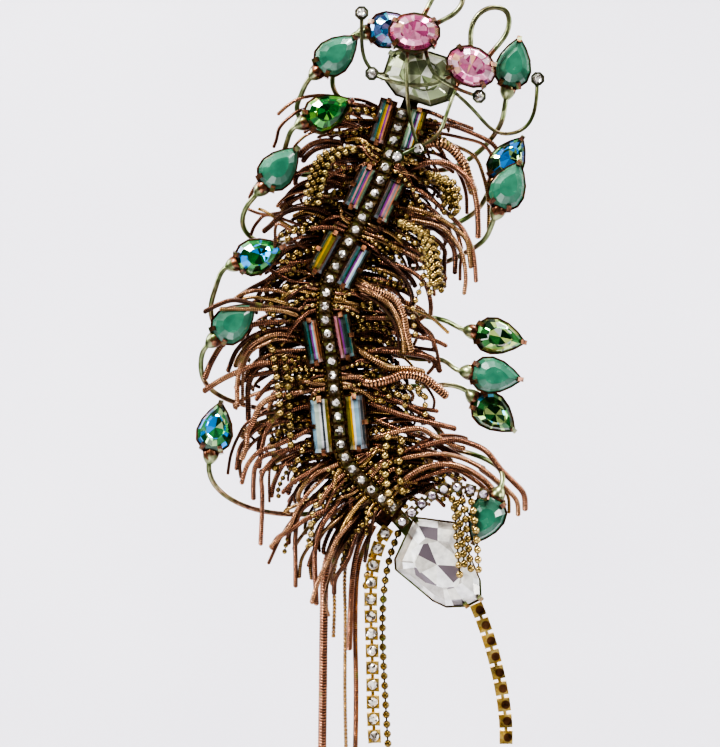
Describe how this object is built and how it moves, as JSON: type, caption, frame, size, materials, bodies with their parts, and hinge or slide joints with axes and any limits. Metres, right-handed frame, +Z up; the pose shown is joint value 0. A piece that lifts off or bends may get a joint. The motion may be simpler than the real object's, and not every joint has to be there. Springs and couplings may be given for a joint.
{
  "type": "insect brooch",
  "caption": "Long curved insect brooch with stone-tipped wire legs, paired baguettes, a snake-chain fringe and trailing cup chains.",
  "frame": {"origin": "middle of the pin, on the face of the cloth that the brooch is pinned on", "axes": "+Z up as worn, towards the head; -Y is the front that is seen; +X to the wearer's left, the viewer's right"},
  "size_m": [0.099, 0.0247, 0.2211],
  "materials": {
    "plate_metal": "antique copper-brown brass, worn",
    "leg_metal": "green lacquer fading to bare copper",
    "head_metal": "green lacquer over antique brass",
    "tail_metal": "antique brass",
    "cup_metal": "dark antique brass",
    "gold_cup_metal": "bright gold-coloured brass",
    "copper_chain": "copper-brown plated snake chain",
    "ball_chain": "antique brass ball chain",
    "pin_metal": "plain steel",
    "coated_glass": "clear glass with a rainbow coating",
    "opaque_green_glass": "opaque green glass, polished",
    "green_glass": "green glass with a blue coating",
    "pink_glass": "rose pink glass",
    "pale_glass": "clear glass, greenish",
    "clear_glass": "clear glass",
    "tail_glass": "clear glass, foiled back"
  },
  "bodies": {
    "root": {"spine_plate": "plate_metal", "baguette_1_left": "coated_glass", "baguette_1_right": "coated_glass", "baguette_2_left": "coated_glass", "baguette_2_right": "coated_glass", "baguette_3_left": "coated_glass", "baguette_3_right": "coated_glass", "baguette_4_left": "coated_glass", "baguette_4_right": "coated_glass", "baguette_5_left": "coated_glass", "baguette_5_right": "coated_glass", "leg_brow": "leg_metal", "leg_left_1": "leg_metal", "leg_left_2": "leg_metal", "leg_left_3": "leg_metal", "leg_left_4": "leg_metal", "leg_left_5": "leg_metal", "leg_left_6": "leg_metal", "leg_right_1": "leg_metal", "leg_right_2": "leg_metal", "leg_right_3": "leg_metal", "leg_right_4": "leg_metal", "leg_right_5": "leg_metal", "leg_right_6": "leg_metal", "leg_tail": "leg_metal", "pear_brow": "green_glass", "pear_left_1": "opaque_green_glass", "pear_left_2": "green_glass", "pear_left_3": "opaque_green_glass", "pear_left_4": "green_glass", "pear_left_5": "opaque_green_glass", "pear_left_6": "green_glass", "pear_right_1": "opaque_green_glass", "pear_right_2": "green_glass", "pear_right_3": "opaque_green_glass", "pear_right_4": "green_glass", "pear_right_5": "opaque_green_glass", "pear_right_6": "green_glass", "pear_tail": "opaque_green_glass", "head_frame": "head_metal", "eye_left": "pink_glass", "eye_right": "pink_glass", "head_stone": "pale_glass", "feeler_stones": "clear_glass", "tail_setting": "tail_metal", "tail_stone": "tail_glass", "spine_cups": "cup_metal", "spine_chatons": "clear_glass", "drape_cups": "cup_metal", "drape_chatons": "clear_glass", "trail_left_cups": "gold_cup_metal", "trail_left_chatons": "clear_glass", "trail_right_cups": "gold_cup_metal", "trail_right_chatons": "clear_glass", "fringe_left": "copper_chain", "fringe_right": "copper_chain", "long_strands": "copper_chain", "ball_strands": "ball_chain", "brooch_pin": "pin_metal"}
  },
  "joints": []
}
